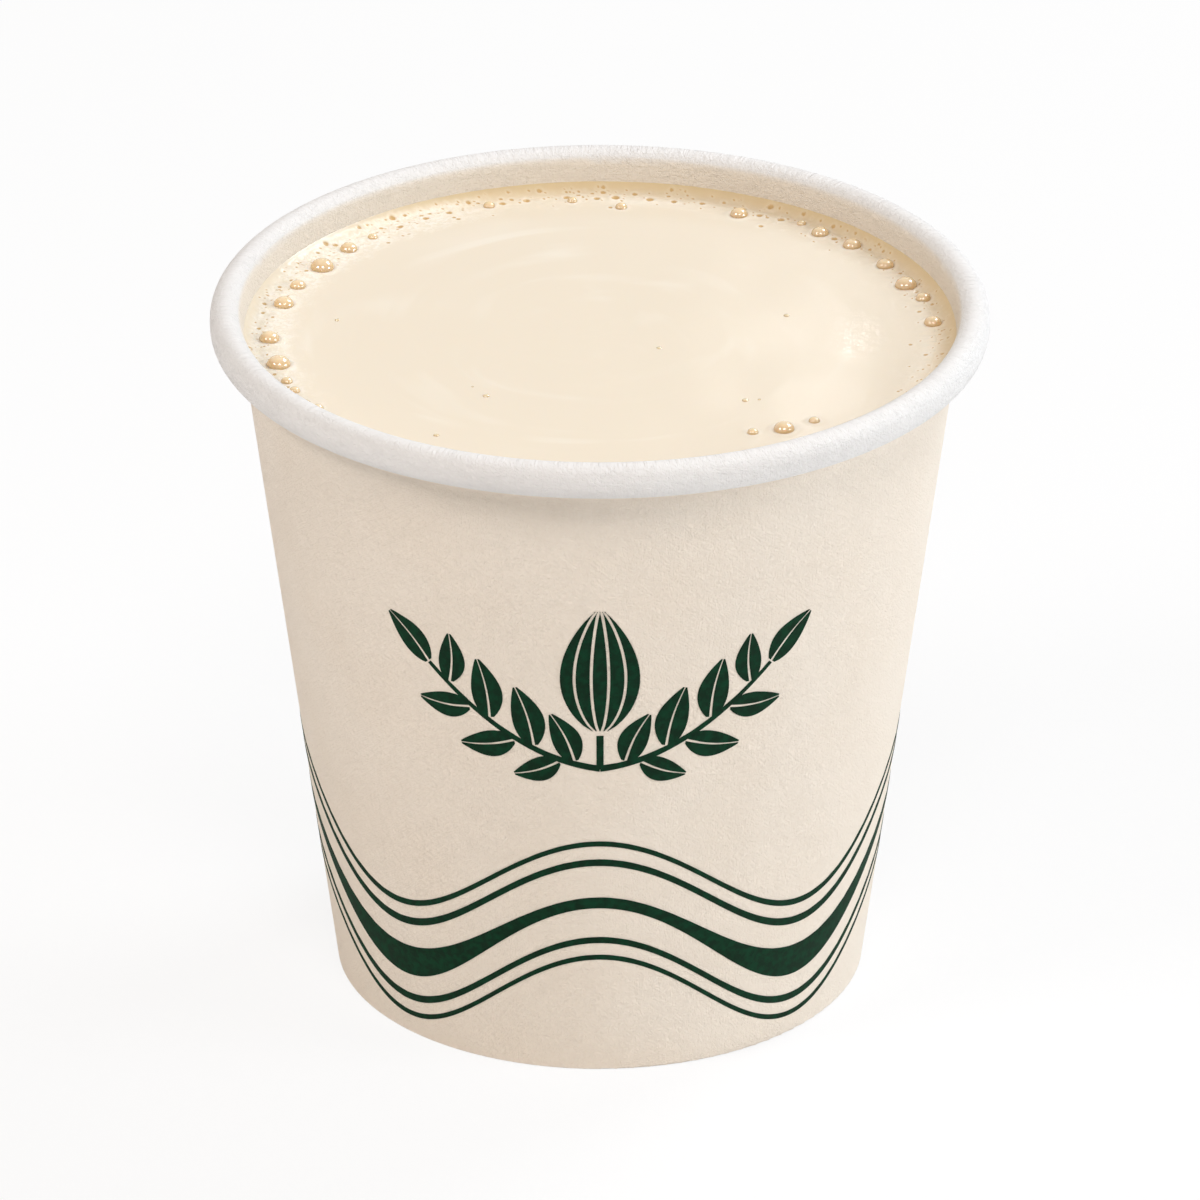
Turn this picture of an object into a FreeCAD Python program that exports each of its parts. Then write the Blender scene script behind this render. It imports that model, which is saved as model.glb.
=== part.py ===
import FreeCAD, Part
import math
import os
import Sketcher
from FreeCAD import Vector

# A squat single-wall paper cup of white hot chocolate, about 90 mm across its rolled rim.
# The cup is two pieces of coated paperboard. The side wall is a cone of board whose top edge is
# rolled outwards into the rim and whose foot is folded inwards into a hem. The bottom is a pressed
# disc with a skirt, and the hem grips the skirt. The drink fills the cup almost to the rim.
# Millimetres, +Z up, origin on the table at the middle of the foot, lap seam towards +Y.

DIMENSIONS = [
    # alias, value, what it is
    ("rim_diameter", 90.0, "over the rolled rim"),
    ("cup_height", 84.0, "table to the top of the rim"),
    ("base_diameter", 61.9, "over the fold at the foot"),
    ("roll_width", 3.6, "of the rolled rim's section"),
    ("roll_straight", 0.55, "upright run of the rolled rim's section, between its round top and foot"),
    ("roll_turn", 315.0, "how far the rim's board is rolled, in degrees"),
    ("board", 0.35, "thickness of the side wall's board"),
    ("fold_radius", 0.3, "outside radius of the pressed fold at the foot"),
    ("hem_height", 6.0, "table to the top edge of the hem"),
    ("disc_board", 0.30, "thickness of the bottom disc's board"),
    ("disc_corner", 0.9, "outside radius between the disc and its skirt"),
    ("disc_clearance", 0.7, "from the hem's top edge up to where the disc's corner starts"),
    ("seal_gap", 0.02, "glue line between the disc's skirt and the wall or hem"),
    ("seam_turn", 11.0, "width of the lap seam, in degrees round the cup"),
    ("seam_step", 0.22, "how far the pressed lap stands out"),
    ("seam_foot", 1.2, "table to the lower end of the lap that stands out"),
    ("seam_top_gap", 0.25, "from the lap's upper end to the underside of the roll"),
    ("headspace", 4.5, "top of the rim down to the drink's flat surface"),
    ("meniscus_rise", 0.9, "how far the drink climbs the wall"),
    ("meniscus_radius", 2.6, "of the drink's curve up to the wall"),
    ("fill_gap", 0.02, "between the drink and the board"),
]

# How a sketch's constraints name a point of an edge, and the sketch's own origin and axes.
START, END, CENTRE = 1, 2, 3
ORIGIN, X_AXIS, Y_AXIS = -1, -1, -2

# Expressions in the sheet's aliases. The roll bends round an upper and a lower centre. LEAN is the
# wall's angle from upright: its outer face is the line that touches the fold's corner on one side
# and the inside of the roll's upper bend on the other.
ROLL_X = "(dims.rim_diameter / 2 - dims.roll_width / 2)"
ROLL_Z = "(dims.cup_height - dims.roll_width / 2)"
ROLL_LOW_Z = f"({ROLL_Z} - dims.roll_straight)"
FOLD_X = "(dims.base_diameter / 2 - dims.fold_radius)"
SPAN_X = f"({ROLL_X} - {FOLD_X})"
SPAN_Z = f"({ROLL_Z} - dims.fold_radius)"
TOUCH = "(dims.fold_radius + dims.roll_width / 2 - dims.board)"
LEAN = f"(acos({TOUCH} / hypot({SPAN_X}; {SPAN_Z})) - atan2({SPAN_Z}; {SPAN_X}))"
WALL_SLOPE = f"(90 deg - {LEAN})"
CURL_TURN = f"(dims.roll_turn * 1 deg - 180 deg + {LEAN})"
DISC_TOP = "(dims.hem_height + dims.disc_clearance + dims.disc_corner)"
HEM_BEND_RADIUS = "(dims.disc_board / 2 + dims.seal_gap)"
HEM_BEND_Z = f"(dims.board + {HEM_BEND_RADIUS})"


def wall_radius(depth, height):
    """Expression for the radius of the cone that lies that deep inside the wall's outer face."""
    rise = f"({height} - dims.fold_radius) * sin({LEAN})"
    return f"({FOLD_X} + (dims.fold_radius - ({depth}) + {rise}) / cos({LEAN}))"


def make_sheet(doc):
    sheet = doc.addObject("Spreadsheet::Sheet", "dims")
    for row, (alias, value, meaning) in enumerate(DIMENSIONS, start=1):
        sheet.set(f"A{row}", meaning)
        sheet.set(f"B{row}", str(value))
        sheet.setAlias(f"B{row}", alias)
    doc.recompute()
    return sheet


def value_of(sheet, expression):
    """The number that an expression in the sheet's aliases comes to."""
    result = sheet.evalExpression(expression.replace("dims.", ""))
    return float(getattr(result, "Value", result))


class Profile:
    """A closed outline in a sketch on one of a body's own planes: X is the radius and Y the height.
    Each edge starts where the sheet's values put it, and the constraints then tie it to the sheet."""

    def __init__(self, sheet, body, name, plane):
        self.sheet = sheet
        self.sketch = body.newObject("Sketcher::SketchObject", name)
        origin = next(o for o in body.Origin.OriginFeatures if o.Role == plane)
        self.sketch.AttachmentSupport = [(origin, "")]
        self.sketch.MapMode = "FlatFace"
        self.constraints = []
        self.sizes = {}

    def line(self, start, end):
        segment = Part.LineSegment(Vector(*start, 0), Vector(*end, 0))
        return self.sketch.addGeometry(segment, False)

    def arc(self, centre, radius, first, last):
        """An arc that runs anticlockwise from the first angle to the last, in degrees."""
        circle = Part.Circle(Vector(*centre, 0), Vector(0, 0, 1), radius)
        turn = Part.ArcOfCircle(circle, math.radians(first), math.radians(last))
        return self.sketch.addGeometry(turn, False)

    def rule(self, *constraint):
        self.constraints.append(Sketcher.Constraint(*constraint))

    def size(self, name, expression, *constraint):
        """A dimension that follows the sheet."""
        value = value_of(self.sheet, expression)
        if constraint[0] == "Angle":
            value = math.radians(value)
        self.sizes[len(self.constraints)] = (name, expression)
        self.rule(*constraint, value)

    def place(self, name, geometry, point, radius, height):
        """Fixes a point of an edge at a radius and a height."""
        self.size(name + "_radius", radius, "DistanceX", ORIGIN, START, geometry, point)
        self.size(name + "_height", height, "DistanceY", ORIGIN, START, geometry, point)

    def tie(self):
        """Hands all the constraints to the sketch at once, and binds the sizes to the sheet."""
        self.sketch.addConstraint(self.constraints)
        for index, (name, expression) in self.sizes.items():
            self.sketch.renameConstraint(index, name)
            self.sketch.setExpression(f"Constraints.{name}", expression)


def polar(centre, radius, degrees):
    turn = math.radians(degrees)
    return (centre[0] + radius * math.cos(turn), centre[1] + radius * math.sin(turn))


def revolve(body, profile, name, turn, midplane=False):
    """Turns a profile about the cup's upright axis, through an expression in degrees."""
    profile.tie()
    turned = body.newObject("PartDesign::Revolution", name)
    turned.Profile = profile.sketch
    turned.ReferenceAxis = (profile.sketch, ["V_Axis"])
    turned.Midplane = midplane
    turned.setExpression("Angle", turn)
    profile.sketch.Document.recompute()
    return turned


def make_body(doc, name):
    body = doc.addObject("PartDesign::Body", name)
    body.Label = name
    return body


def make_sidewall(doc, sheet):
    """The wall's board in section: rolled rim, slanting wall, and the hem and fold at the foot."""
    body = make_body(doc, "sidewall")
    number = lambda expression: value_of(sheet, expression)
    lean, board, fold = number(LEAN), number("dims.board"), number("dims.fold_radius")
    roll_at = (number(ROLL_X), number(ROLL_Z))
    roll_low_at = (number(ROLL_X), number(ROLL_LOW_Z))
    roll = number("dims.roll_width / 2")
    bend_z, bend = number(HEM_BEND_Z), number(HEM_BEND_RADIUS)
    hem = number("dims.hem_height")
    gap = number("dims.disc_board + 2 * dims.seal_gap")
    at = lambda depth, height: (number(wall_radius(str(depth), str(height))), height)
    bend_at = at(board + bend, bend_z)
    rolled_end = 180 - lean - number("dims.roll_turn")

    p = Profile(sheet, body, "sidewall_section", "XZ_Plane")
    outer_face = p.line(at(0, fold), at(0, roll_at[1]))
    roll_inside = p.arc(roll_at, roll - board, 0, 180 - lean)
    side_inside = p.line(polar(roll_at, roll - board, 0), polar(roll_low_at, roll - board, 0))
    curl_inside = p.arc(roll_low_at, roll - board, rolled_end, 0)
    roll_edge = p.line(polar(roll_low_at, roll, rolled_end), polar(roll_low_at, roll - board, rolled_end))
    curl_outside = p.arc(roll_low_at, roll, rolled_end, 0)
    side_outside = p.line(polar(roll_at, roll, 0), polar(roll_low_at, roll, 0))
    roll_outside = p.arc(roll_at, roll, 0, 180 - lean)
    inner_face = p.line(at(board, roll_at[1]), at(board, bend_z))
    hem_bend = p.arc(bend_at, bend, 180 - lean, 360 - lean)
    hem_outer = p.line(at(board + gap, bend_z), at(board + gap, hem))
    hem_edge = p.line(at(board + gap, hem), at(2 * board + gap, hem))
    hem_inner = p.line(at(2 * board + gap, hem), at(2 * board + gap, fold))
    fold_inner = p.arc(at(2 * board + gap - fold, fold), fold, 180 - lean, 270)
    foot = p.line((at(2 * board + gap - fold, fold)[0], 0), (at(fold, fold)[0], 0))
    fold_outer = p.arc(at(fold, fold), fold, 270, 360 - lean)

    p.rule("Tangent", outer_face, END, roll_inside, END)
    p.rule("Tangent", roll_inside, START, side_inside, START)
    p.rule("Tangent", side_inside, END, curl_inside, END)
    p.rule("Coincident", curl_inside, START, roll_edge, END)
    p.rule("Coincident", roll_edge, START, curl_outside, START)
    p.rule("Tangent", curl_outside, END, side_outside, END)
    p.rule("Tangent", side_outside, START, roll_outside, START)
    p.rule("Vertical", side_outside)
    p.rule("Coincident", roll_inside, CENTRE, roll_outside, CENTRE)
    p.rule("Coincident", curl_inside, CENTRE, curl_outside, CENTRE)
    p.rule("Equal", roll_inside, curl_inside)
    p.rule("Equal", roll_outside, curl_outside)
    p.rule("Tangent", roll_outside, END, inner_face, START)
    p.rule("Parallel", outer_face, inner_face)
    p.rule("Tangent", inner_face, END, hem_bend, END)
    p.rule("Tangent", hem_bend, START, hem_outer, START)
    p.rule("Parallel", hem_outer, inner_face)
    p.rule("Coincident", hem_outer, END, hem_edge, START)
    p.rule("Perpendicular", hem_edge, hem_outer)
    p.rule("Coincident", hem_edge, END, hem_inner, START)
    p.rule("Parallel", hem_inner, hem_outer)
    p.rule("Tangent", hem_inner, END, fold_inner, START)
    p.rule("Tangent", fold_inner, END, foot, START)
    p.rule("PointOnObject", foot, START, X_AXIS)
    p.rule("Horizontal", foot)
    p.rule("Tangent", foot, END, fold_outer, START)
    p.rule("Tangent", fold_outer, END, outer_face, START)
    p.rule("Equal", fold_inner, fold_outer)
    p.place("roll", roll_outside, CENTRE, ROLL_X, ROLL_Z)
    p.size("roll_low", ROLL_LOW_Z, "DistanceY", ORIGIN, START, curl_outside, CENTRE)
    p.size("roll_size", "dims.roll_width / 2", "Radius", roll_outside)
    p.size("roll_hollow", "dims.roll_width / 2 - dims.board", "Radius", roll_inside)
    p.size("curl_length", CURL_TURN, "Angle", curl_outside)
    p.size("curl_lining", CURL_TURN, "Angle", curl_inside)
    p.size("fold_size", "dims.fold_radius", "Radius", fold_outer)
    p.size("fold_place", FOLD_X, "DistanceX", ORIGIN, START, fold_outer, CENTRE)
    p.size("bend_size", HEM_BEND_RADIUS, "Radius", hem_bend)
    p.size("bend_height", HEM_BEND_Z, "DistanceY", ORIGIN, START, hem_bend, CENTRE)
    p.size("hem_thickness", "dims.board", "Distance", hem_edge)
    p.size("hem_top", "dims.hem_height", "DistanceY", ORIGIN, START, hem_outer, END)
    revolve(body, p, "sidewall_cone", "360 deg")
    add_lap_seam(sheet, body)
    return body


def add_lap_seam(sheet, body):
    """The upright lap where the blank's two edges are glued: its outer edge stands out a little."""
    inside, outside = "dims.board / 2", "-dims.seam_step"
    low = "dims.seam_foot"
    high = "(dims.cup_height - dims.roll_width - dims.roll_straight - dims.seam_top_gap)"
    corner = lambda depth, height: (value_of(sheet, wall_radius(depth, height)), value_of(sheet, height))
    places = [(inside, low), (outside, low), (outside, high), (inside, high)]

    p = Profile(sheet, body, "seam_section", "YZ_Plane")
    for start, end in zip(places, places[1:] + places[:1]):
        p.line(corner(*start), corner(*end))
    for edge, (depth, height) in enumerate(places):
        p.rule("Coincident", edge, END, (edge + 1) % len(places), START)
        p.place(f"corner_{edge}", edge, START, wall_radius(depth, height), height)
    revolve(body, p, "seam_lap", "dims.seam_turn * 1 deg", midplane=True)


def make_bottom_disc(doc, sheet):
    """The pressed bottom: a flat disc whose skirt is gripped between the wall and its hem."""
    body = make_body(doc, "bottom_disc")
    number = lambda expression: value_of(sheet, expression)
    lean, top, thick = number(LEAN), number(DISC_TOP), number("dims.disc_board")
    corner = number("dims.disc_corner")
    foot = number(HEM_BEND_Z)
    outer = "dims.board + dims.seal_gap"
    inner = "dims.board + dims.seal_gap + dims.disc_board"
    at = lambda depth, height: (number(wall_radius(depth, str(height))), height)
    corner_at = (at(outer, top - corner)[0] - corner, top - corner)

    p = Profile(sheet, body, "disc_section", "XZ_Plane")
    upper_face = p.line((0, top), (corner_at[0], top))
    corner_outside = p.arc(corner_at, corner, -lean, 90)
    skirt_outer = p.line(at(outer, foot), at(outer, top - corner))
    skirt_edge = p.line(at(inner, foot), at(outer, foot))
    skirt_inner = p.line(at(inner, foot), at(inner, top - corner))
    corner_inside = p.arc(corner_at, corner - thick, -lean, 90)
    under_face = p.line((0, top - thick), (corner_at[0], top - thick))
    middle = p.line((0, top - thick), (0, top))

    p.rule("Coincident", middle, END, upper_face, START)
    p.rule("PointOnObject", upper_face, START, Y_AXIS)
    p.rule("Horizontal", upper_face)
    p.rule("Tangent", upper_face, END, corner_outside, END)
    p.rule("Tangent", corner_outside, START, skirt_outer, END)
    p.rule("Coincident", skirt_outer, START, skirt_edge, END)
    p.rule("Perpendicular", skirt_edge, skirt_outer)
    p.rule("Coincident", skirt_edge, START, skirt_inner, START)
    p.rule("Parallel", skirt_inner, skirt_outer)
    p.rule("Tangent", skirt_inner, END, corner_inside, START)
    p.rule("Coincident", corner_inside, CENTRE, corner_outside, CENTRE)
    p.rule("Tangent", corner_inside, END, under_face, END)
    p.rule("Horizontal", under_face)
    p.rule("Coincident", under_face, START, middle, START)
    p.rule("Vertical", middle)
    p.size("disc_top", DISC_TOP, "DistanceY", ORIGIN, START, upper_face, START)
    p.size("corner_size", "dims.disc_corner", "Radius", corner_outside)
    p.size("corner_hollow", "dims.disc_corner - dims.disc_board", "Radius", corner_inside)
    p.size("skirt_slope", WALL_SLOPE, "Angle", skirt_outer)
    p.place("skirt_foot", skirt_outer, START, wall_radius(outer, HEM_BEND_Z), HEM_BEND_Z)
    revolve(body, p, "disc_turned", "360 deg")
    return body


def make_drink(doc, sheet):
    """The drink: flat on top, with a narrow curve up to the wall all round."""
    body = make_body(doc, "drink")
    number = lambda expression: value_of(sheet, expression)
    bottom = f"({DISC_TOP} + dims.fill_gap)"
    level = "(dims.cup_height - dims.headspace)"
    shore = f"({level} + dims.meniscus_rise)"
    depth = "dims.board + dims.fill_gap"
    at = lambda height: (number(wall_radius(depth, height)), number(height))
    radius, rise = number("dims.meniscus_radius"), number("dims.meniscus_rise")
    reach = (radius**2 - (radius - rise) ** 2) ** 0.5
    curve_at = (at(shore)[0] - reach, number(level) + radius)
    curve_end = -(90 - value_of(sheet, f"asin({reach / radius})"))

    p = Profile(sheet, body, "drink_section", "XZ_Plane")
    under_face = p.line((0, number(bottom)), at(bottom))
    wall_face = p.line(at(bottom), at(shore))
    meniscus = p.arc(curve_at, radius, -90, curve_end)
    flat_top = p.line((0, number(level)), (curve_at[0], number(level)))
    middle = p.line((0, number(bottom)), (0, number(level)))

    p.rule("Coincident", under_face, END, wall_face, START)
    p.rule("Coincident", wall_face, END, meniscus, END)
    p.rule("Tangent", meniscus, START, flat_top, END)
    p.rule("Coincident", flat_top, START, middle, END)
    p.rule("Coincident", middle, START, under_face, START)
    p.rule("PointOnObject", flat_top, START, Y_AXIS)
    p.rule("Horizontal", under_face)
    p.rule("Horizontal", flat_top)
    p.rule("Vertical", middle)
    p.size("wall_slope", WALL_SLOPE, "Angle", wall_face)
    p.place("bottom_edge", wall_face, START, wall_radius(depth, bottom), bottom)
    p.size("surface", level, "DistanceY", ORIGIN, START, flat_top, START)
    p.size("shore", shore, "DistanceY", ORIGIN, START, meniscus, END)
    p.size("curve", "dims.meniscus_radius", "Radius", meniscus)
    revolve(body, p, "drink_turned", "360 deg")
    return body


def check(doc, bodies):
    """Stops the build if a feature failed, a sketch is loose, or a piece isn't one valid solid."""
    for item in doc.Objects:
        if "Invalid" in item.State or "Error" in item.State:
            raise RuntimeError(f"{item.Name} failed: {item.State}")
        if item.TypeId == "Sketcher::SketchObject" and not item.FullyConstrained:
            raise RuntimeError(f"{item.Name} isn't fully constrained")
    for body in bodies:
        if body.Shape.isNull() or not body.Shape.isValid() or len(body.Shape.Solids) != 1:
            raise RuntimeError(f"{body.Label} isn't one valid solid")


def main():
    doc = FreeCAD.newDocument("white_hot_chocolate")
    sheet = make_sheet(doc)
    bodies = [make(doc, sheet) for make in (make_sidewall, make_bottom_disc, make_drink)]
    doc.recompute()
    check(doc, bodies)
    os.makedirs("parts", exist_ok=True)
    for body in bodies:
        body.Shape.exportStep(f"parts/{body.Label}.step")
        print(body.Label, "volume", round(body.Shape.Volume, 1), "box", body.Shape.BoundBox)


main()
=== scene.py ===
import math
import random

import bpy
import bmesh
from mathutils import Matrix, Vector, noise
from mathutils.bvhtree import BVHTree


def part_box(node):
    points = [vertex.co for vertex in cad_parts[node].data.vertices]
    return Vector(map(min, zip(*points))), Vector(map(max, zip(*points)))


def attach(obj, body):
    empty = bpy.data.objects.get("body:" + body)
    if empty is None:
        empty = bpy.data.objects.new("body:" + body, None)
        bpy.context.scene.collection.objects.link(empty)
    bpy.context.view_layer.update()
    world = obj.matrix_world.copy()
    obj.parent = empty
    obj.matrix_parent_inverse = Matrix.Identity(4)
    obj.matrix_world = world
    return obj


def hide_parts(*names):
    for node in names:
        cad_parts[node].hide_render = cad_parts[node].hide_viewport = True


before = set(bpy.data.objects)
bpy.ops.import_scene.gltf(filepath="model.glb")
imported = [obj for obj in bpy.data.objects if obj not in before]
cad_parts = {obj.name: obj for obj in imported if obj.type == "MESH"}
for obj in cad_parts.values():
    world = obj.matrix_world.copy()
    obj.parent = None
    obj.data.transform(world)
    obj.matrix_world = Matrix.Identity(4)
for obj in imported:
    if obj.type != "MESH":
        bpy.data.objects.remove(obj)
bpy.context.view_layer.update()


# The side wall: one blank of coated paperboard, wrapped into a cone and glued along a lap at the
# back. Its white inner face shows inside and on the rolled rim, and its outer face is printed cream.
# The board is matte, with a soft cloudiness and fine fibres lying every way, mostly on the slant.
MM = 0.001


class Value:
    """A socket's output. Arithmetic on it adds Math nodes, and numbers alone stay in Python."""

    def __init__(self, finish, socket):
        self.finish = finish
        self.socket = socket

    def math(self, operation, *others):
        """Any Math node, with this value as its first."""
        return self.finish.node("Math", {"operation": operation}, dict(enumerate((self, *others))))

    def __add__(self, other):
        return self.math("ADD", other)

    __radd__ = __add__

    def __sub__(self, other):
        return self.math("SUBTRACT", other)

    def __rsub__(self, other):
        return self.math("MULTIPLY_ADD", -1.0, other)

    def __mul__(self, other):
        return self.math("MULTIPLY", other)

    __rmul__ = __mul__

    def step(self, start, end):
        """A smooth step from 0 at the start to 1 at the end, whichever of them is the lower."""
        settings = {"interpolation_type": "SMOOTHSTEP"}
        return self.finish.node("MapRange", settings, {"Value": self, "From Min": start, "From Max": end})


class Finish:
    """The nodes of one material, or of the world."""

    def __init__(self, owner):
        self.owner = owner
        self.owner.use_nodes = True
        self.tree = self.owner.node_tree
        self.tree.nodes.clear()

    def node(self, kind, settings=None, inputs=None, output=0):
        """Adds a node: its settings first, then the links or constants of its sockets."""
        node = self.tree.nodes.new("ShaderNode" + kind)
        for name, value in (settings or {}).items():
            setattr(node, name, value)
        for name, value in (inputs or {}).items():
            socket = self.find(node.inputs, name)
            if isinstance(value, Value):
                self.tree.links.new(value.socket, socket)
            else:
                socket.default_value = value
        return Value(self, self.find(node.outputs, output)) if node.outputs else None

    def find(self, sockets, name):
        """A socket by its place, or by its name or identifier among those in use."""
        if isinstance(name, int):
            return sockets[name]
        return next(s for s in sockets if name in (s.identifier, s.name) and s.enabled)

    def blend(self, factor, first, second):
        """Mixes two colours, from the first at factor 0 to the second at factor 1."""
        colours = {"Factor_Float": factor, "A_Color": first, "B_Color": second}
        return self.node("Mix", {"data_type": "RGBA"}, colours, output="Result_Color")

    def place(self):
        """Where a point is on the object, in millimetres: the vector, and its X, Y and Z."""
        metres = self.node("TexCoord", output="Object")
        point = self.node("VectorMath", {"operation": "SCALE"}, {0: metres, "Scale": 1 / MM})
        return point, [self.node("SeparateXYZ", None, {0: point}, output=axis) for axis in range(3)]

    def round_the_cup(self):
        """Along the wall's surface, in millimetres: round from the front, and up."""
        _, (x, y, z) = self.place()
        bearing = x.math("ARCTAN2", y * -1.0)
        return self.node("CombineXYZ", None, {0: bearing * WALL_RADIUS, 1: z, 2: 0.0})

    def grain(self, vector, scale, detail=2.0, roughness=0.5, distortion=0.0):
        """Noise of about one feature in 1 / scale of the vector's units, round 0.5."""
        inputs = {"Vector": vector, "Scale": scale, "Detail": detail, "Roughness": roughness}
        inputs["Distortion"] = distortion
        return self.node("TexNoise", None, inputs, output="Fac")

    def relief(self, height, strength):
        """A bump whose height is in millimetres."""
        return self.node("Bump", None, {"Height": height, "Strength": strength, "Distance": MM})

    def surface(self, **inputs):
        """The main shader; its sockets are named with underscores for spaces."""
        named = {name.replace("_", " "): value for name, value in inputs.items()}
        shader = self.node("BsdfPrincipled", None, named)
        self.node("OutputMaterial", None, {"Surface": shader})
        return self.owner


def tone(red, green, blue):
    """A colour as it reads on a screen, 0 to 255, as a shader takes it."""
    linear = [((c / 255 + 0.055) / 1.055) ** 2.4 for c in (red, green, blue)]
    return (*linear, 1.0)


# The wall's radius about halfway up, and the height of the rolled rim, where the board is bare.
WALL_RADIUS = 36.0
ROLL_UNDERSIDE = 79.85
WHITE_BOARD = (tone(233, 231, 229), tone(237, 236, 234))
CREAM_PRINT = (tone(242, 230, 214), tone(245, 235, 221))
# The inner face's tone: a painted shade, darker and warmer than the bare board.
INSIDE_SHADE_TONE = tone(232, 223, 210)
# How far the fibres and the specks between them stand up, in millimetres.
FIBRE_HEIGHT, SPECK_HEIGHT = 0.032, 0.014
# How each layer of fibres lies: its slant in radians, and its fineness along and across.
FIBRE_LAYERS = ((0.75, 0.5, 2.3), (-0.7, 0.55, 2.6), (0.1, 0.6, 2.4), (1.5, 0.55, 2.5))


def board_finish(name, printed):
    """Matte paperboard. The printed face is the outer one below the rolled rim."""
    board = Finish(bpy.data.materials.new(name))
    point, (_, _, z) = board.place()
    unrolled = board.round_the_cup()
    cloud = board.grain(point, 0.09, 2.0, 0.45)
    speck = board.grain(point, 2.6, 3.0, 0.6)
    mottle = (cloud * 0.5 + speck * 0.5).step(0.25, 0.75)
    colour = board.blend(mottle, *WHITE_BOARD)
    if printed:
        flat_normal = board.node("NewGeometry", output="Normal")
        radial = board.node("VectorMath", {"operation": "NORMALIZE"}, {0: board.node(
            "VectorMath", {"operation": "MULTIPLY"}, {0: point, 1: (1.0, 1.0, 0.0)})})
        facing = board.node("VectorMath", {"operation": "DOT_PRODUCT"}, {0: flat_normal, 1: radial},
                            output="Value")
        outside = facing.step(0.2, 0.4) * z.step(ROLL_UNDERSIDE + 0.05, ROLL_UNDERSIDE - 0.05)
        # The inner face is painted a little darker and warmer than bare board, a painted shade inside the
        # cup.
        inside = (facing * -1.0).step(0.75, 0.97)
        colour = board.blend(inside, colour, INSIDE_SHADE_TONE)
        colour = board.blend(outside, colour, board.blend(mottle, *CREAM_PRINT))
    fibres = 0.0
    for turn, length, width in FIBRE_LAYERS:
        slanted = board.node("VectorRotate", {"rotation_type": "Z_AXIS"}, {
            "Vector": unrolled, "Angle": turn})
        stretched = board.node("VectorMath", {"operation": "MULTIPLY"}, {
            0: slanted, 1: (length, width, 1.0)})
        strand = board.grain(stretched, 1.0, 2.0, 0.5, 0.9)
        fibres = (strand - 0.5).math("ABSOLUTE").step(0.13, 0.01) + fibres
    height = fibres * FIBRE_HEIGHT + speck * SPECK_HEIGHT
    return board.surface(
        Base_Color=colour,
        Roughness=0.72 + speck * 0.12,
        Specular_IOR_Level=0.32,
        Normal=board.relief(height, 0.9),
    )


def repaint(node, material):
    """Gives a node made in CAD its finish."""
    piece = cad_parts[node]
    for place in piece.material_slots:
        place.material = material


repaint("sidewall", board_finish("printed_board", True))


# The bottom: a disc of the same board, uncoloured, pressed with a skirt that the wall's hem grips.
# It sits above the fold, so that the cup stands on a narrow ring.
repaint("bottom_disc", board_finish("plain_board", False))


# The print on the wall: one dark green ink, rolled on flat before the blank is wrapped. It runs as
# broad and fine waves round the foot, with a leafy spray and a cocoa pod on the front. Each motif
# is a thin film that follows the wall, over the lap too.

# Sizes are in millimetres. A film stands this far over the wall, and reaches this far into it.
INK_RISE = 0.04
INK_DEPTH = 0.06
# The lap's step on the wall's outer face: its height, where it starts above the foot, and how far
# it reaches to each side of the back.
LAP_RISE = 0.22
LAP_FOOT = 1.2
LAP_EDGE = math.radians(6.4)
LAP_RAMP = math.radians(0.3)
WAVES_ROUND = 4
WAVE_MIDDLE = 17.0
WAVE_SWING = 6.5
# Each line's height over the wave's middle line, and its half width at the crests and in the troughs.
WAVE_LINES = ((0.0, 0.75, 2.05), (5.6, 0.45, 0.5), (8.2, 0.34, 0.4), (-5.2, 0.42, 0.48), (-7.6, 0.34, 0.34))
# The steps in which a line goes round the cup.
AROUND = 480
# The spray's middle is this high, and its flat artwork is wrapped at this radius.
SPRAY_HEIGHT = 52.5
SPRAY_RADIUS = 37.6
RIB_GAP = 0.34
DARK_INK, WORN_INK = tone(0, 36, 19), tone(0, 54, 32)

wall_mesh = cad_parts["sidewall"].data
wall_tree = BVHTree.FromPolygons(
    [v.co for v in wall_mesh.vertices], [p.vertices for p in wall_mesh.polygons])


def wall_hit(bearing, height, outside):
    """The radius of the wall's outer or inner face, in millimetres, on one bearing."""
    outward = Vector((math.sin(bearing), -math.cos(bearing), 0.0))
    start = Vector((0.0, 0.0, height * MM))
    if outside:
        hit = wall_tree.ray_cast(start + outward, -outward)[0]
    else:
        hit = wall_tree.ray_cast(start, outward)[0]
    return hit.xy.length / MM


def face_line(outside, low=12.0, high=74.0):
    """The straight slant of a face of the wall: its radius at height 0, and its growth for each
    millimetre up. The widest of many looks is free of the model's flat facets."""
    looks = [math.radians(turn) for turn in range(-70, 71)]
    at_low, at_high = (max(wall_hit(b, height, outside) for b in looks) for height in (low, high))
    growth = (at_high - at_low) / (high - low)
    return at_low - growth * low, growth


outer_foot, outer_growth = face_line(True)


def on_wall(bearing, height, rise):
    """A point that far over the wall's outer face, in metres."""
    from_lap = math.pi - abs(bearing)
    lap = min(max((LAP_EDGE - from_lap) / LAP_RAMP, 0.0), 1.0) if height > LAP_FOOT else 0.0
    radius = outer_foot + outer_growth * height + rise + lap * LAP_RISE
    return (radius * math.sin(bearing) * MM, -radius * math.cos(bearing) * MM, height * MM)


def mesh_piece(name, vertices, faces, material, smooth=True):
    """A piece of the object made from points in metres, riding with the cup."""
    mesh = bpy.data.meshes.new(name)
    mesh.from_pydata(vertices, [], faces)
    work = bmesh.new()
    work.from_mesh(mesh)
    bmesh.ops.recalc_face_normals(work, faces=work.faces)
    work.to_mesh(mesh)
    work.free()
    mesh.polygons.foreach_set("use_smooth", [smooth] * len(mesh.polygons))
    mesh.materials.append(material)
    piece = bpy.data.objects.new(name, mesh)
    bpy.context.scene.collection.objects.link(piece)
    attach(piece, "root")
    return piece


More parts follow.
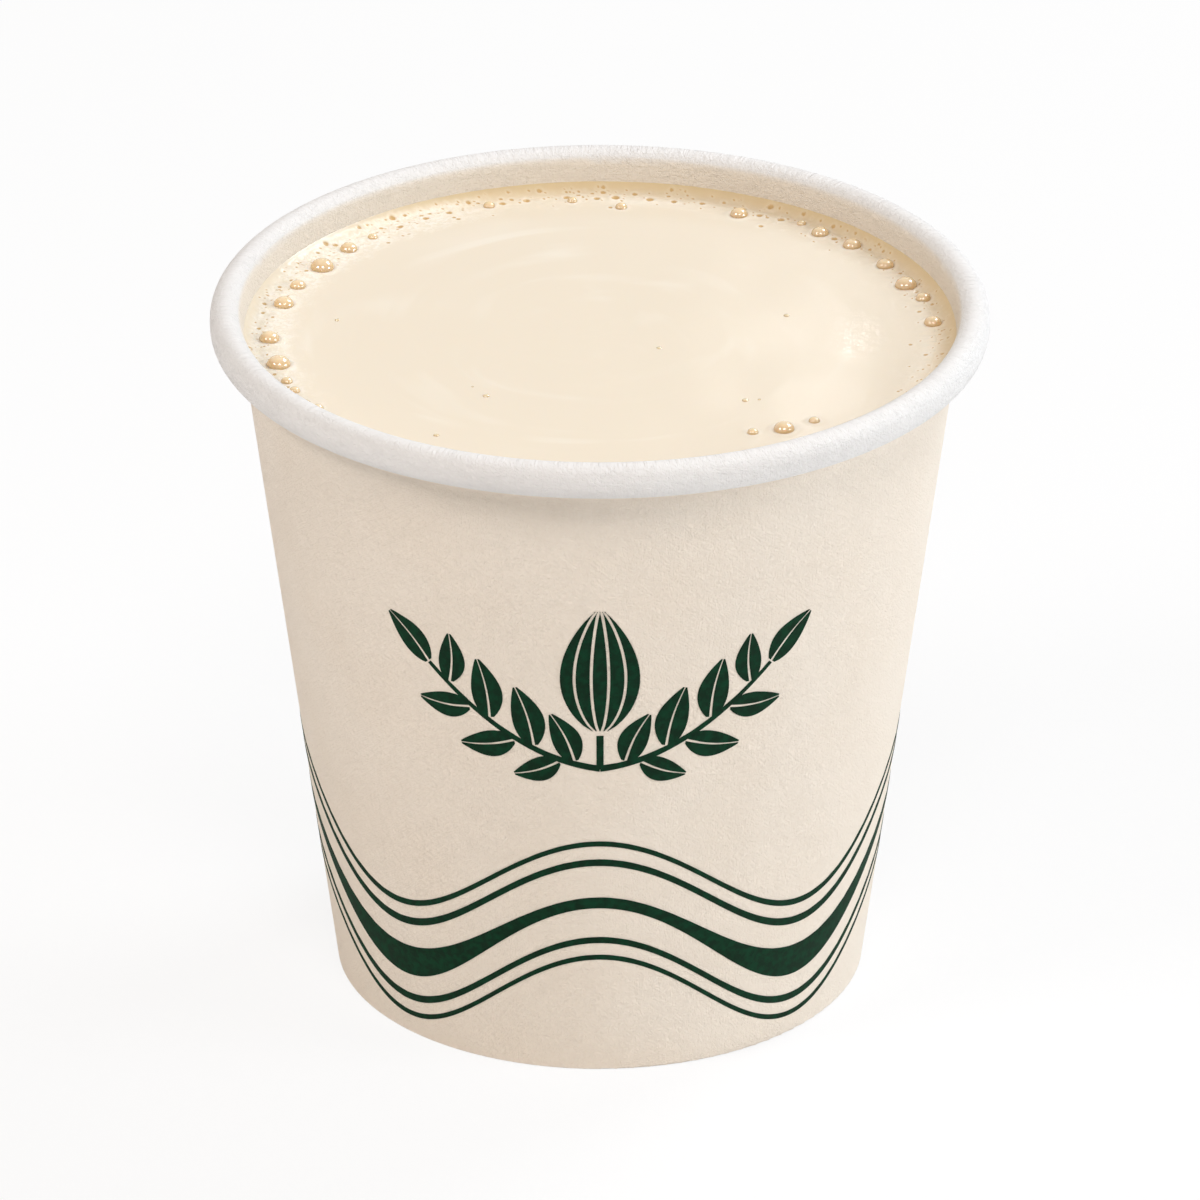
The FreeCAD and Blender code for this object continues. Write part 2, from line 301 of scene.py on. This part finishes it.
class Film:
    """Ink laid on the wall as grids of (bearing, height), each a closed sheet."""

    def __init__(self):
        self.vertices = []
        self.faces = []

    def lay(self, grid, closed=False):
        """Adds one strip. A closed one runs on to its start."""
        rows, columns, start = len(grid), len(grid[0]), len(self.vertices)
        for rise in (INK_RISE, -INK_DEPTH):
            self.vertices += [on_wall(*place, rise) for row in grid for place in row]

        def corner(layer, row, column):
            return start + (layer * rows + row % rows) * columns + column

        steps = range(rows if closed else rows - 1)
        for i in steps:
            for j in range(columns - 1):
                for layer in (0, 1):
                    self.faces.append([corner(layer, i, j), corner(layer, i + 1, j),
                                       corner(layer, i + 1, j + 1), corner(layer, i, j + 1)])
            for j in (0, columns - 1):
                self.faces.append([corner(0, i, j), corner(0, i + 1, j),
                                   corner(1, i + 1, j), corner(1, i, j)])
        if not closed:
            for i in (0, rows - 1):
                for j in range(columns - 1):
                    self.faces.append([corner(0, i, j), corner(0, i, j + 1),
                                       corner(1, i, j + 1), corner(1, i, j)])


ink = Finish(bpy.data.materials.new("green_ink"))
ink_point, _ = ink.place()
ink_patches = ink.grain(ink_point, 1.1, 3.0, 0.6)
ink_material = ink.surface(
    Base_Color=ink.blend(ink_patches.step(0.35, 0.7), DARK_INK, WORN_INK),
    Roughness=0.6 + ink_patches * 0.15,
    Specular_IOR_Level=0.12,
    Normal=ink.relief(ink.grain(ink_point, 2.6, 3.0, 0.6) * 0.02, 0.8),
)

waves = Film()
for over, narrow, broad in WAVE_LINES:
    line = []
    for step in range(AROUND):
        bearing = math.tau * step / AROUND - math.pi
        crest = math.cos(WAVES_ROUND * bearing)
        half = narrow + (broad - narrow) * (0.5 - 0.5 * crest) ** 1.6
        middle = WAVE_MIDDLE + over + WAVE_SWING * crest
        line.append([(bearing, middle + side * half) for side in (-1, -0.33, 0.33, 1)])
    waves.lay(line, closed=True)
mesh_piece("wave_print", waves.vertices, waves.faces, ink_material, smooth=False)

spray = Film()


def lay_between(inner, outer, steps=16, across=4):
    """Ink between two curves of the flat artwork, each a function of 0 to 1."""
    grid = []
    for i in range(steps + 1):
        share = i / steps
        near, far = inner(share), outer(share)
        row = []
        for j in range(across + 1):
            x = near[0] + (far[0] - near[0]) * j / across
            y = near[1] + (far[1] - near[1]) * j / across
            row.append((x / SPRAY_RADIUS, SPRAY_HEIGHT + y))
        grid.append(row)
    spray.lay(grid)


def along(base, aim, forward, sideways):
    """The point that lies forward and sideways of a base, where aim is in degrees from right."""
    turn = math.radians(aim)
    return (base[0] + forward * math.cos(turn) - sideways * math.sin(turn),
            base[1] + forward * math.sin(turn) + sideways * math.cos(turn))


def leaf(base, aim, length, width, bow):
    """A leaf as two halves, with its midrib left bare between them."""
    for side in (-1, 1):
        def edge(share, side=side, swell=1.0):
            share = 0.03 + 0.94 * share
            half = 0.5 * width * math.sin(math.pi * share ** 0.8) ** 0.9 * swell
            gap = 0.5 * RIB_GAP * (1 - 0.6 * share)
            sideways = side * (gap + half) + bow * math.sin(math.pi * share)
            return along(base, aim, length * share, sideways)

        lay_between(lambda share: edge(share, swell=0.0), edge, across=3)


# The branch's reach to the side, where it starts, and how it rises and curls up. Then its half
# width, and what that loses towards the tip.
STEM_REACH, STEM_FOOT, STEM_RISE, STEM_CURL = 20.2, -10.4, 2.6, 9.2
STEM_HALF, STEM_TAPER = 0.42, 0.18
# A leaf's place along the branch, its turn from it in degrees, and its length and width.
LEAVES = (
    (0.14, 52, 7.2, 3.2), (0.22, -40, 6.2, 2.9), (0.38, 50, 8.4, 3.6), (0.48, -42, 7.2, 3.2),
    (0.64, 46, 8.2, 3.5), (0.74, -40, 6.8, 3.0), (0.99, 2, 7.6, 3.2), (0.88, 50, 6.8, 3.0),
)
# How far a leaf starts off the branch, and how far its midrib bows.
LEAF_GAP, LEAF_BOW = 0.25, 0.35


def stem(side, share):
    """The branch on one side: out from the bottom middle and up."""
    return (side * STEM_REACH * share, STEM_FOOT + STEM_RISE * share + STEM_CURL * share ** 2)


def stem_aim(side, share):
    """Which way the branch runs there, in degrees."""
    ahead, behind = stem(side, share + 0.01), stem(side, share - 0.01)
    return math.degrees(math.atan2(ahead[1] - behind[1], ahead[0] - behind[0]))


for side in (-1, 1):
    def stem_edge(share, offset, side=side):
        thick = STEM_HALF - STEM_TAPER * share
        return along(stem(side, share), stem_aim(side, share), 0.0, offset * thick)

    lay_between(lambda share: stem_edge(share, -1), lambda share: stem_edge(share, 1),
                steps=30, across=1)
    for share, turn, length, width in LEAVES:
        lean = stem_aim(side, share) + side * turn
        base = along(stem(side, share), lean, LEAF_GAP, 0.0)
        leaf(base, lean, length, width, side * LEAF_BOW * math.copysign(1, turn))

POD_LENGTH, POD_WIDTH, POD_FOOT = 17.0, 9.4, -5.6
# The bare ribs and the edges of the pod, as shares of its half width, and the end of its stalk.
POD_RIBS = (-1.0, -0.62, -0.21, 0.21, 0.62, 1.0)
STALK_TOP = POD_FOOT - 0.3


def pod_edge(share, across, inset):
    """A line from the pod's stalk end to its tip, at a share of its half width."""
    share = 0.02 + 0.955 * share
    half = 0.5 * POD_WIDTH * math.sin(math.pi * share ** 0.82) ** 0.72
    return (across * half - inset, POD_FOOT + POD_LENGTH * share)


for left, right in zip(POD_RIBS, POD_RIBS[1:]):
    lay_between(lambda share: pod_edge(share, left, -RIB_GAP / 2),
                lambda share: pod_edge(share, right, RIB_GAP / 2), steps=22, across=3)
lay_between(lambda share: (-STEM_HALF, STEM_FOOT + (STALK_TOP - STEM_FOOT) * share),
            lambda share: (STEM_HALF, STEM_FOOT + (STALK_TOP - STEM_FOOT) * share))
mesh_piece("spray_print", spray.vertices, spray.faces, ink_material, smooth=False)


# The drink: milk with white chocolate, opaque and smooth, filled to a few millimetres under the rim.
# It climbs the wall a little, and slow streaks from the stirring lie in its surface. Along the back
# and the sides it carries wet froth: fine pores, and holes where bubbles have burst.
inner_foot, inner_growth = face_line(False)
drink_low, drink_high = (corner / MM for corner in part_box("drink"))
MENISCUS_RISE, MENISCUS_RADIUS = 0.9, 2.6
# Its body ends just over the meniscus's edge, and reaches into the wall and the bottom.
OVER_EDGE, INTO_WALL, INTO_BOTTOM = 0.02, 0.1, 0.05
level = drink_high.z - MENISCUS_RISE
shore_radius = inner_foot + inner_growth * drink_high.z
meniscus_reach = math.sqrt(MENISCUS_RADIUS ** 2 - (MENISCUS_RADIUS - MENISCUS_RISE) ** 2)
# The froth lies round the middle of the back, and thins out towards the front on both sides.
FROTH_WIDTH = 5.6
FROTH_MIDDLE = 94.0
FROTH_FULL, FROTH_END = 108.0, 140.0
# A bubble's bearing from the right in degrees, its distance in from the wall, and its diameter.
LARGE_BUBBLES = (
    (150, 3.7, 2.8), (141, 3.3, 2.1), (134.5, 3.1, 1.2), (159, 3.5, 1.9), (167, 3.5, 2.4),
    (181.5, 3.0, 2.4), (192, 3.4, 2.8), (199, 3.2, 1.4), (203, 3.2, 1.3), (208, 3.2, 0.9),
    (211, 3.6, 1.3), (110, 2.9, 1.4), (95, 3.6, 1.2), (86, 5.4, 1.4), (64, 3.8, 2.1),
    (52.5, 2.2, 1.1), (47.5, 2.9, 2.1), (40, 2.6, 2.2), (30, 2.7, 2.1), (21, 3.0, 2.6),
    (15, 2.3, 1.8), (5, 2.5, 2.1), (-43, 7.8, 1.3), (-50, 8.6, 2.4), (-56, 10.1, 1.3),
)
# Burst holes: how many are tried, with their least and greatest radius, and how deep they are as
# a share of it.
HOLES = ((60, 0.28, 0.45), (260, 0.14, 0.28), (520, 0.08, 0.15))
HOLE_DEPTH = 0.45
# The row of holes along the back: their bearings, distance in from the wall, and radius.
BACK_ROW = range(57, 131, 5)
BACK_INSET, BACK_RADIUS = (2.5, 3.1), (0.38, 0.54)
# The side of the square cells under which bubbles and holes are filed.
CELL = 2.5
# The milk and its streaks, the painted shade on the milk by the wall, the froth, the painted highlight on
# the holes' collars, and the painted shade inside the holes.
MILK, STREAK, WALL_SHADE_MILK = tone(233, 221, 200), tone(238, 229, 212), tone(214, 190, 148)
FROTH_SHADE, FROTH_WHITE = tone(238, 229, 210), tone(250, 245, 234)
COLLAR_HIGHLIGHT, HOLE_SHADE_TAN = tone(246, 238, 224), tone(202, 168, 116)
# Where the drink is rippled, from the cup's middle, and how far that reaches across and away.
RIPPLE_PLACE, RIPPLE_REACH = (29.6, 1.0, 0.0), (4.5, 8.5)


def smooth_step(value, start, end):
    """A smooth step from 0 at the start to 1 at the end."""
    share = min(max((value - start) / (end - start), 0.0), 1.0)
    return share * share * (3 - 2 * share)


def froth_share(x, y):
    """How thick the froth lies on this side of the cup, from 0 to 1."""
    off = abs((math.degrees(math.atan2(y, x)) - FROTH_MIDDLE + 180) % 360 - 180)
    return 1 - smooth_step(off, FROTH_FULL, FROTH_END)


def shore_point(bearing, inset):
    """A place that far in from the drink's edge."""
    turn, radius = math.radians(bearing), shore_radius - inset
    return radius * math.cos(turn), radius * math.sin(turn)


random.seed(7)
large_bubbles = [(*shore_point(bearing, inset), size / 2) for bearing, inset, size in LARGE_BUBBLES]
hollows = [(x, y, radius, 0.0) for x, y, radius in large_bubbles]


def is_clear(x, y, radius, gap):
    """Whether a hole there stands clear of the bubbles and of the holes before it."""
    return all(math.hypot(x - other_x, y - other_y) > radius + other_radius + gap
               for other_x, other_y, other_radius, _ in hollows)


for bearing in BACK_ROW:
    x, y = shore_point(bearing + random.uniform(-1.6, 1.6), random.uniform(*BACK_INSET))
    radius = random.uniform(*BACK_RADIUS)
    if is_clear(x, y, radius, 0.1):
        hollows.append((x, y, radius, HOLE_DEPTH * radius))
for number, least, greatest in HOLES:
    for _ in range(number):
        x, y = shore_point(random.uniform(0, 360), abs(random.gauss(1.4, 1.4)) + 0.5)
        radius = least + (greatest - least) * random.random() ** 1.6
        if is_clear(x, y, radius, 0.08) and random.random() < froth_share(x, y):
            hollows.append((x, y, radius, HOLE_DEPTH * radius))

# Each is filed under its own cell and those round it, so that a place looks only at the ones near it.
near_hollows = {}
for hollow in hollows:
    column, row = int(hollow[0] // CELL), int(hollow[1] // CELL)
    for i in (-1, 0, 1):
        for j in (-1, 0, 1):
            near_hollows.setdefault((column + i, row + j), []).append(hollow)


def hollow_shape(x, y):
    """What the bubbles and holes do to the surface: its rise, and how deep in a hole or on a
    hole's collar a place lies, each from 0 to 1."""
    rise = deep = collar = 0.0
    for middle_x, middle_y, radius, depth in near_hollows.get((int(x // CELL), int(y // CELL)), ()):
        out = math.hypot(x - middle_x, y - middle_y)
        width = 0.1 + 0.16 * radius
        ring = math.exp(-((out - radius - width) / width) ** 2)
        # A bubble has no hole, only a low collar.
        rise += (0.22 * depth or 0.05 * radius) * ring
        collar = max(collar, ring)
        if out < radius and depth:
            bowl = 1 - (out / radius) ** 2
            rise -= depth * bowl
            deep = max(deep, bowl)
    return rise, deep, collar


def surface_point(x, y):
    """The drink's height at a place on its surface, in millimetres, and its hole and collar: the
    climb at the wall, slow swells all over, the froth's uneven skin, and the bubbles and holes."""
    radius = math.hypot(x, y)
    climb = radius - (shore_radius - meniscus_reach)
    height = level
    if climb > 0:
        height += MENISCUS_RADIUS - math.sqrt(max(MENISCUS_RADIUS ** 2 - climb ** 2, 0.0))
    height += 0.05 * noise.noise(Vector((x / 9, y / 14, 1.7)))
    froth = smooth_step(radius, shore_radius - FROTH_WIDTH, shore_radius - FROTH_WIDTH * 0.45)
    froth *= froth_share(x, y) * (1 - smooth_step(radius, shore_radius - 0.7, shore_radius))
    if froth > 0:
        height += froth * (0.05 + 0.07 * noise.fractal(Vector((x / 0.8, y / 0.8, 5.1)), 0.9, 2.0, 3))
    rise, deep, collar = hollow_shape(x, y)
    return height + rise, deep, collar


def drink_body():
    """A mesh of rings: wide apart in the open middle, and fine where the froth lies."""
    open_turns, fine_turns, stitch = 300, 1200, 4
    open_rings, fine_rings, fine_width = 30, 66, 11.0
    open_radius = shore_radius - fine_width
    rings = [(open_radius * k / (open_rings + 1), open_turns) for k in range(1, open_rings + 1)]
    rings += [(open_radius + fine_width * k / fine_rings, fine_turns) for k in range(fine_rings + 1)]
    height, deep, collar = surface_point(0.0, 0.0)
    vertices, holes, collars = [(0.0, 0.0, height * MM)], [deep], [collar]
    starts = []
    for radius, turns in rings:
        starts.append(len(vertices))
        for step in range(turns):
            turn = math.tau * step / turns
            x, y = radius * math.cos(turn), radius * math.sin(turn)
            height, deep, collar = surface_point(x, y)
            vertices.append((x * MM, y * MM, height * MM))
            holes.append(deep)
            collars.append(collar)
    for height in (drink_high.z + OVER_EDGE, drink_low.z - INTO_BOTTOM):
        radius = inner_foot + inner_growth * height + INTO_WALL
        rings.append((radius, fine_turns))
        starts.append(len(vertices))
        for step in range(fine_turns):
            turn = math.tau * step / fine_turns
            vertices.append((radius * math.cos(turn) * MM, radius * math.sin(turn) * MM, height * MM))
        holes += [0.0] * fine_turns
        collars += [0.0] * fine_turns
    faces = [[0, 1 + s, 1 + (s + 1) % open_turns] for s in range(open_turns)]
    for (_, turns), (_, more), start, after in zip(rings, rings[1:], starts, starts[1:]):
        for s in range(turns):
            a, b = start + s, start + (s + 1) % turns
            if more == turns:
                faces.append([a, s + after, (s + 1) % turns + after, b])
            else:
                faces.append([a, *(after + (stitch * s + k) % more for k in range(stitch + 1)), b])
    faces.append([starts[-1] + s for s in range(fine_turns)])
    return vertices, faces, holes, collars


def keep_shares(piece, **shares):
    """Keeps a share for each vertex under a name, for the finish to read."""
    for name, values in shares.items():
        layer = piece.data.attributes.new(name, "FLOAT", "POINT")
        layer.data.foreach_set("value", values)


cream = Finish(bpy.data.materials.new("white_chocolate_milk"))
cream_point, _ = cream.place()
level_point = cream.node("VectorMath", {"operation": "MULTIPLY"}, {0: cream_point, 1: (1.0, 1.0, 0.0)})
out_from_middle = cream.node("VectorMath", {"operation": "LENGTH"}, {0: level_point}, output="Value")
heading = cream.node("VectorMath", {"operation": "NORMALIZE"}, {0: level_point})
spiral = cream.node("VectorRotate", {"rotation_type": "Z_AXIS"}, {
    "Vector": heading, "Angle": out_from_middle * 0.05})
swirl_rings = cream.node("CombineXYZ", None, {2: out_from_middle * 0.2})
swirl_place = cream.node("VectorMath", {"operation": "ADD"}, {0: spiral, 1: swirl_rings})
swirl = cream.grain(swirl_place, 1.0, 2.0, 0.45, 0.5)
drift = cream.grain(cream_point, 0.05, 2.0, 0.5, 0.6)
streaks = swirl.step(0.5, 0.74) * drift.step(0.36, 0.66) * out_from_middle.step(2.0, 12.0)
milk = cream.blend(streaks, MILK, STREAK)
ragged = cream.grain(cream_point, 0.5, 4.0, 0.6)


def toward(bearing, edge, full):
    """From 0 that many degrees off a bearing to 1 nearer to it."""
    aim = (math.cos(math.radians(bearing)), math.sin(math.radians(bearing)), 0.0)
    along_aim = cream.node("VectorMath", {"operation": "DOT_PRODUCT"}, {0: heading, 1: aim}, output="Value")
    return along_aim.step(math.cos(math.radians(edge)), math.cos(math.radians(full)))


# Towards the wall the milk is painted darker and warmer, a painted shade that is strongest at the back and
# right.
wall_shade_side = 0.25 + toward(50, 100, 50) * 0.75
wall_shade_band = (out_from_middle + ragged * 0.7).step(shore_radius - 3.4, shore_radius + 0.7) * wall_shade_side
milk = cream.blend(wall_shade_band, milk, WALL_SHADE_MILK)

# The froth is paler. It is whitest and wettest at the back on the left, where it was poured; that whiteness
# is partly a painted highlight.
froth_here = toward(FROTH_MIDDLE, FROTH_END, FROTH_FULL)
froth = (out_from_middle + ragged * 5.0).step(shore_radius - 4.6, shore_radius - 1.2) * froth_here
froth = froth * (1 - out_from_middle.step(shore_radius - 1.5, shore_radius - 0.2))
fleck = cream.grain(cream_point, 1.5, 4.0, 0.62, 0.8)
lather_and_highlight = (toward(133, 26, 10) * 0.9 + toward(172, 40, 14) * 0.75).math("MINIMUM", 1.0) * froth
froth_tone = cream.blend(fleck.step(0.42, 0.58), FROTH_SHADE, FROTH_WHITE)
milk = cream.blend(froth * 0.06 + lather_and_highlight * 0.8, milk, froth_tone)
hole = cream.node("Attribute", {"attribute_name": "hole"}, output="Fac")
collar = cream.node("Attribute", {"attribute_name": "collar"}, output="Fac")
# The raised collars round the holes get a painted highlight, weaker in the painted shade by the wall.
milk = cream.blend(collar * (0.4 - wall_shade_band * 0.3), milk, COLLAR_HIGHLIGHT)
# Inside the holes the milk is painted tan, a painted shade in the hollows.
milk = cream.blend(hole.step(0.0, 0.5), milk, HOLE_SHADE_TAN)

# One patch on the right is rippled by stirring, and is smoother than the rest.
from_ripple = cream.node("VectorMath", {"operation": "SUBTRACT"}, {0: level_point, 1: RIPPLE_PLACE})
ripple_shares = cream.node("VectorMath", {"operation": "MULTIPLY"}, {
    0: from_ripple, 1: (1 / RIPPLE_REACH[0], 1 / RIPPLE_REACH[1], 0.0)})
ripple_off = cream.node("VectorMath", {"operation": "LENGTH"}, {0: ripple_shares}, output="Value")
ripple = 1 - ripple_off.step(0.3, 1.2)
wavelets = cream.grain(cream_point, 1.3, 2.0, 0.5, 0.4)
drink_relief = fleck * (froth * 0.03 + lather_and_highlight * 0.08) + swirl * 0.02 + wavelets * ripple * 0.022
cream_material = cream.surface(
    Base_Color=milk,
    Roughness=0.13 + wall_shade_band * 0.3 + froth * 0.06 - ripple * 0.07,
    IOR=1.36,
    Subsurface_Weight=0.12,
    Subsurface_Radius=(1.4, 1.0, 0.6),
    Subsurface_Scale=MM,
    Normal=cream.relief(drink_relief, 1.0),
)
drink_vertices, drink_faces, drink_holes, drink_collars = drink_body()
drink = mesh_piece("drink_body", drink_vertices, drink_faces, cream_material)
keep_shares(drink, hole=drink_holes, collar=drink_collars)
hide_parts("drink")


# The bubbles: thin domes of milk. The large ones lie in the froth along the wall, with three at the
# front right, and tiny ones are scattered over the open surface. Each is painted tan for the shade of
# its hollow, darkest round the foot, and has a painted highlight that makes it palest on top.

# A tiny bubble's place across and away from the cup's middle, and its diameter, in millimetres.
TINY_BUBBLES = (
    (-13.0, -16.0, 0.8), (-18.6, -26.4, 0.7), (-3.4, -34.2, 0.7), (16.6, -17.2, 0.8),
    (6.8, -3.2, 0.6), (21.6, 5.6, 0.7), (-30.4, 4.4, 0.6), (-14.6, -13.6, 0.3), (18.2, -17.0, 0.4),
)
DOME_TURNS, DOME_RINGS = 28, 10
# How tall a dome stands, as a share of its radius, and how far its foot is sunk in the drink.
LARGE_HEIGHT, TINY_HEIGHT = 0.78, 0.5
DOME_SUNK = 0.5
# The film's tones: painted shade of the hollow at the foot and body, and a painted highlight on top.
FILM_FOOT_SHADE, FILM_BODY_SHADE, FILM_TOP_HIGHLIGHT = tone(200, 162, 110), tone(216, 184, 136), tone(230, 205, 162)


def dome(x, y, radius, height, vertices, faces, rises):
    """Adds one bubble: a round dome closed below the surface."""
    base = surface_point(x, y)[0]
    start = len(vertices)
    vertices.append((x * MM, y * MM, (base + height * radius) * MM))
    rises.append(1.0)
    for ring in range(1, DOME_RINGS + 1):
        fall = math.pi / 2 * ring / DOME_RINGS
        sunk = DOME_SUNK if ring == DOME_RINGS else 0.0
        for s in range(DOME_TURNS):
            turn = math.tau * s / DOME_TURNS
            vertices.append(((x + radius * math.sin(fall) * math.cos(turn)) * MM,
                             (y + radius * math.sin(fall) * math.sin(turn)) * MM,
                             (base + height * radius * math.cos(fall) - sunk) * MM))
            rises.append(math.cos(fall))
    faces += [[start, start + 1 + s, start + 1 + (s + 1) % DOME_TURNS] for s in range(DOME_TURNS)]
    for ring in range(DOME_RINGS - 1):
        for s in range(DOME_TURNS):
            a = start + 1 + ring * DOME_TURNS + s
            b = start + 1 + ring * DOME_TURNS + (s + 1) % DOME_TURNS
            faces.append([a, a + DOME_TURNS, b + DOME_TURNS, b])
    faces.append([start + 1 + (DOME_RINGS - 1) * DOME_TURNS + s for s in range(DOME_TURNS)])


film = Finish(bpy.data.materials.new("bubble_film"))
film_point, _ = film.place()
film_rise = film.node("Attribute", {"attribute_name": "rise"}, output="Fac")
film_cloud = film.grain(film_point, 0.9)
# Painted shade from the foot up through the body, then a painted highlight on top.
film_shading = film.blend(film_rise.step(0.0, 0.35), FILM_FOOT_SHADE, FILM_BODY_SHADE)
film_shading = film.blend(film_rise.step(0.5, 1.0), film_shading, FILM_TOP_HIGHLIGHT)
film_material = film.surface(
    Base_Color=film_shading,
    Roughness=0.12 + film_cloud * 0.04,
    IOR=1.36,
    Subsurface_Weight=0.7,
    Subsurface_Radius=(1.2, 1.0, 0.8),
    Subsurface_Scale=MM * 0.8,
    Coat_Weight=1.0,
    Coat_Roughness=0.06,
    Coat_IOR=1.9,
)
tiny_bubbles = [(x, y, size / 2) for x, y, size in TINY_BUBBLES]
for name, bubbles, height in (
        ("large_bubbles", large_bubbles, LARGE_HEIGHT),
        ("tiny_bubbles", tiny_bubbles, TINY_HEIGHT)):
    vertices, faces, rises = [], [], []
    for x, y, radius in bubbles:
        dome(x, y, radius, height, vertices, faces, rises)
    piece = mesh_piece(name, vertices, faces, film_material)
    keep_shares(piece, rise=rises)


# The studio: a pale floor that keeps the cup's soft shadow, a broad main lamp high on the right and
# behind, softer ones at the sides and in front, and a very small one behind, which glitters on the
# ripples. The camera looks down on the cup from the front.

# In metres: how far the floor reaches each way, and how far under the cup it lies.
FLOOR_REACH, FLOOR_GAP = 4.0, 0.00005
# The share of the floor that the camera sees as plain white, free of shadow.
FLOOR_WHITE = 0.82
# The ring that the cup stands on, in millimetres.
FOOT_RADIUS = 30.8
# The lamps' tints, and what they are aimed at.
WARM, COOL, PLAIN = (1.0, 0.945, 0.92), (0.87, 0.93, 1.0), (1.0, 1.0, 1.0)
LAMP_AIM = Vector((0.0, 0.0, 0.05))

floor_finish = Finish(bpy.data.materials.new("floor_paper"))
floor_ray = floor_finish.node("LightPath", output="Is Camera Ray")
floor_matte = floor_finish.node("BsdfDiffuse", None, {"Color": (0.9, 0.9, 0.9, 1.0)})
floor_glow = floor_finish.node("Emission", None, {"Color": (1.0, 1.0, 1.0, 1.0), "Strength": 1.0})
floor_mixed = floor_finish.node("MixShader", None, {
    0: floor_ray * FLOOR_WHITE, 1: floor_matte, 2: floor_glow})
# It is clear from below, and to light inside the foot's ring, so that the underside isn't black.
floor_under = floor_finish.node("NewGeometry", output="Backfacing")
floor_point, _ = floor_finish.place()
floor_off = floor_finish.node("VectorMath", {"operation": "LENGTH"}, {0: floor_point}, output="Value")
floor_ringed = floor_off.math("LESS_THAN", FOOT_RADIUS)
floor_open = floor_under.math("MAXIMUM", floor_ringed * (1 - floor_ray))
floor_clear = floor_finish.node("BsdfTransparent")
floor_top = floor_finish.node("MixShader", None, {0: floor_open, 1: floor_mixed, 2: floor_clear})
floor_finish.node("OutputMaterial", None, {"Surface": floor_top})
floor_mesh = bpy.data.meshes.new("floor")
floor_corners = [(x * FLOOR_REACH, y * FLOOR_REACH, 0) for x, y in ((-1, -1), (1, -1), (1, 1), (-1, 1))]
floor_mesh.from_pydata(floor_corners, [], [(0, 1, 2, 3)])
floor_mesh.materials.append(floor_finish.owner)
floor = bpy.data.objects.new("floor", floor_mesh)
bpy.context.scene.collection.objects.link(floor)
floor.location.z = -FLOOR_GAP

world = bpy.data.worlds.new("studio")
bpy.context.scene.world = world
studio = Finish(world)
seen = studio.node("LightPath", output="Is Camera Ray")
for ray in ("Is Glossy Ray", "Is Transmission Ray"):
    seen = seen.math("MAXIMUM", studio.node("LightPath", output=ray))
ambient = studio.node("Background", None, {"Color": (1.0, 0.9, 0.79, 1.0), "Strength": 0.26})
white = studio.node("Background", None, {"Color": (1.0, 1.0, 1.0, 1.0), "Strength": 1.0})
mixed = studio.node("MixShader", None, {0: seen, 1: ambient, 2: white})
studio.node("OutputWorld", None, {"Surface": mixed})


def lamp(name, place, size, power, tint):
    """A round soft lamp aimed at the cup, and not seen itself."""
    light = bpy.data.lights.new(name, "AREA")
    light.shape = "DISK"
    light.size = size
    light.energy = power
    light.color = tint
    item = bpy.data.objects.new(name, light)
    bpy.context.scene.collection.objects.link(item)
    item.location = place
    item.rotation_euler = (LAMP_AIM - Vector(place)).to_track_quat("-Z", "Y").to_euler()
    item.visible_camera = False


lamp("main_lamp", (0.66, 0.6, 0.94), 0.5, 7.0, COOL)
lamp("right_lamp", (1.02, -0.28, 0.46), 0.5, 5.4, COOL)
lamp("left_lamp", (-0.75, -0.45, 0.88), 0.44, 5.3, WARM)
lamp("front_lamp", (0.1, -0.72, 1.1), 0.4, 4.1, WARM)
lamp("back_glint", (0.047, 1.09, 0.611), 0.016, 0.01, PLAIN)

# How steeply the camera looks down, and from how far.
SIGHT = math.radians(26.4)
DISTANCE = 1.485
look_at = Vector((0.0, 0.0, 0.0455))
camera_data = bpy.data.cameras.new("camera")
camera_data.lens = 382.0
camera_data.sensor_width = 36.0
camera_data.clip_start, camera_data.clip_end = 0.05, 20.0
camera = bpy.data.objects.new("camera", camera_data)
bpy.context.scene.collection.objects.link(camera)
camera.location = look_at + DISTANCE * Vector((0.0, -math.cos(SIGHT), math.sin(SIGHT)))
camera.rotation_euler = (look_at - camera.location).to_track_quat("-Z", "Y").to_euler()
bpy.context.scene.camera = camera
bpy.context.scene.view_settings.view_transform = "Standard"
